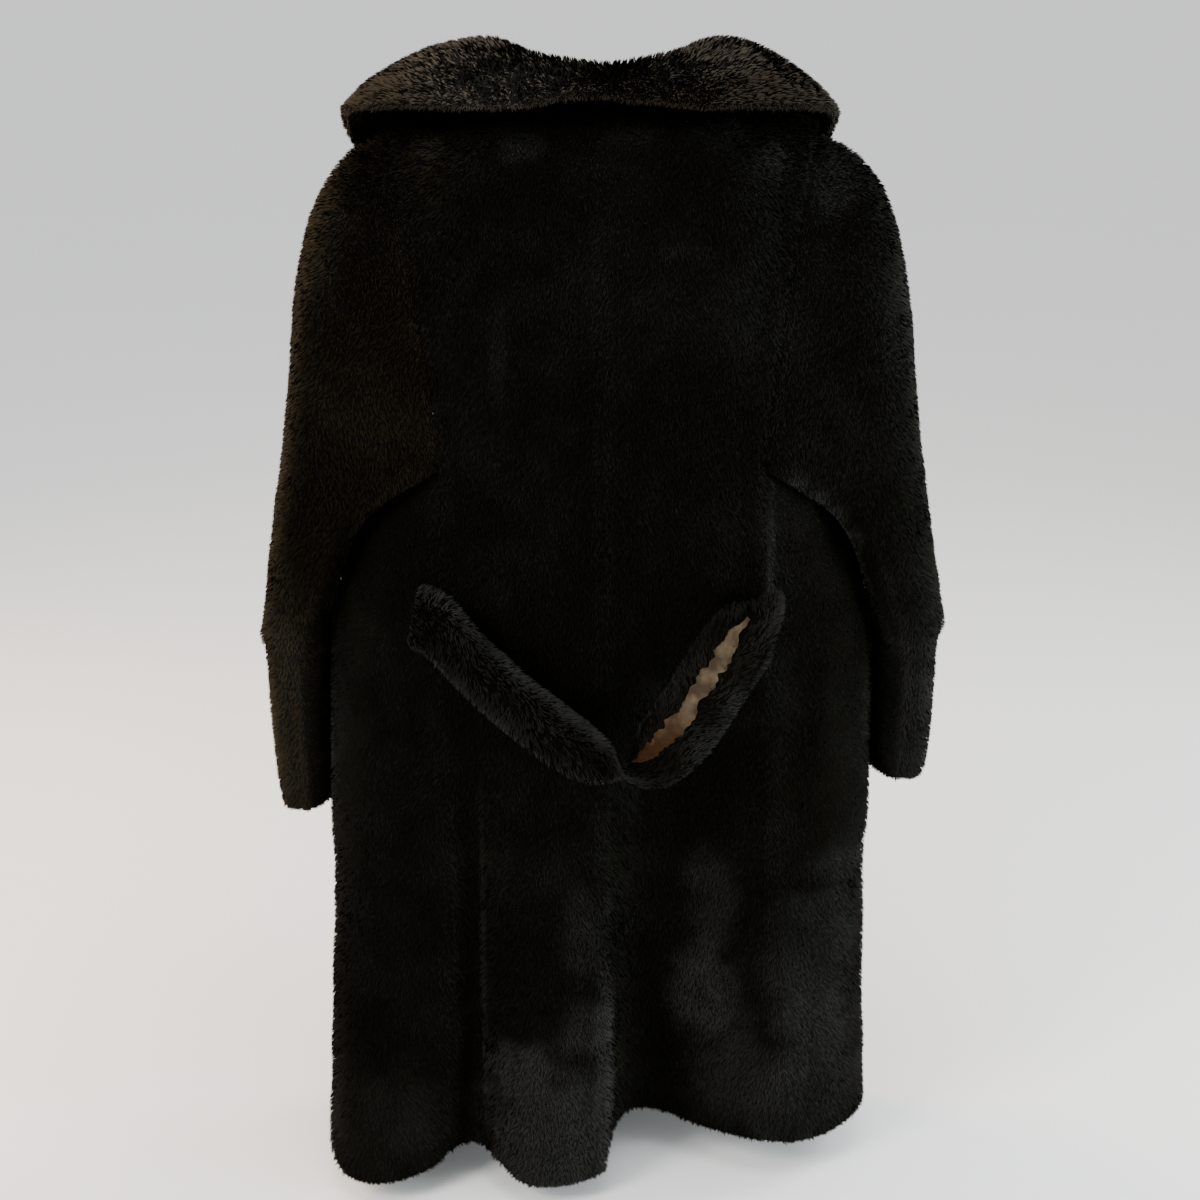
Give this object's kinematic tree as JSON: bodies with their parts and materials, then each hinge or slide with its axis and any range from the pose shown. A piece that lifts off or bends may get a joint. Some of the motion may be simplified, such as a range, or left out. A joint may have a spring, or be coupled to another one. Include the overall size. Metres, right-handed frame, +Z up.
{
  "type": "shearling coat",
  "caption": "Long hollow coat of clipped wool skin, filled out as worn, with a wide turned-down collar, set-in sleeves with cuffs, a fluted hem and a sagging half belt at the back",
  "frame": {"origin": "between the shoulders, at the level of the top of the sleeves, where the wearer's shoulders carry the coat", "axes": "+Z up, the wearer's back faces +Y, the wearer's left side is at +X"},
  "size_m": [0.686, 0.3698, 1.1404],
  "materials": {
    "back_left": "clipped wool on skin, near black, matt with a faint cool sheen along the nap",
    "back_right": "clipped wool on skin, near black, matt with a faint cool sheen along the nap",
    "front_left": "clipped wool on skin, near black, matt with a faint cool sheen along the nap",
    "front_right": "clipped wool on skin, near black, matt with a faint cool sheen along the nap",
    "sleeve_left": "clipped wool on skin, near black, matt with a faint cool sheen along the nap",
    "sleeve_right": "clipped wool on skin, near black, matt with a faint cool sheen along the nap",
    "cuff_left": "clipped wool on skin, near black, matt with a faint cool sheen along the nap",
    "cuff_right": "clipped wool on skin, near black, matt with a faint cool sheen along the nap",
    "collar": "clipped wool on skin, near black, matt with a faint cool sheen along the nap",
    "belt": "clipped wool on skin, near black, matt with a faint cool sheen along the nap",
    "belt_lining": "woven tan lining, slightly shiny"
  },
  "bodies": {
    "root": {"back_left": "back_left", "back_right": "back_right", "front_left": "front_left", "front_right": "front_right", "sleeve_left": "sleeve_left", "sleeve_right": "sleeve_right", "cuff_left": "cuff_left", "cuff_right": "cuff_right", "collar": "collar", "belt": "belt", "belt_lining": "belt_lining"}
  },
  "joints": []
}
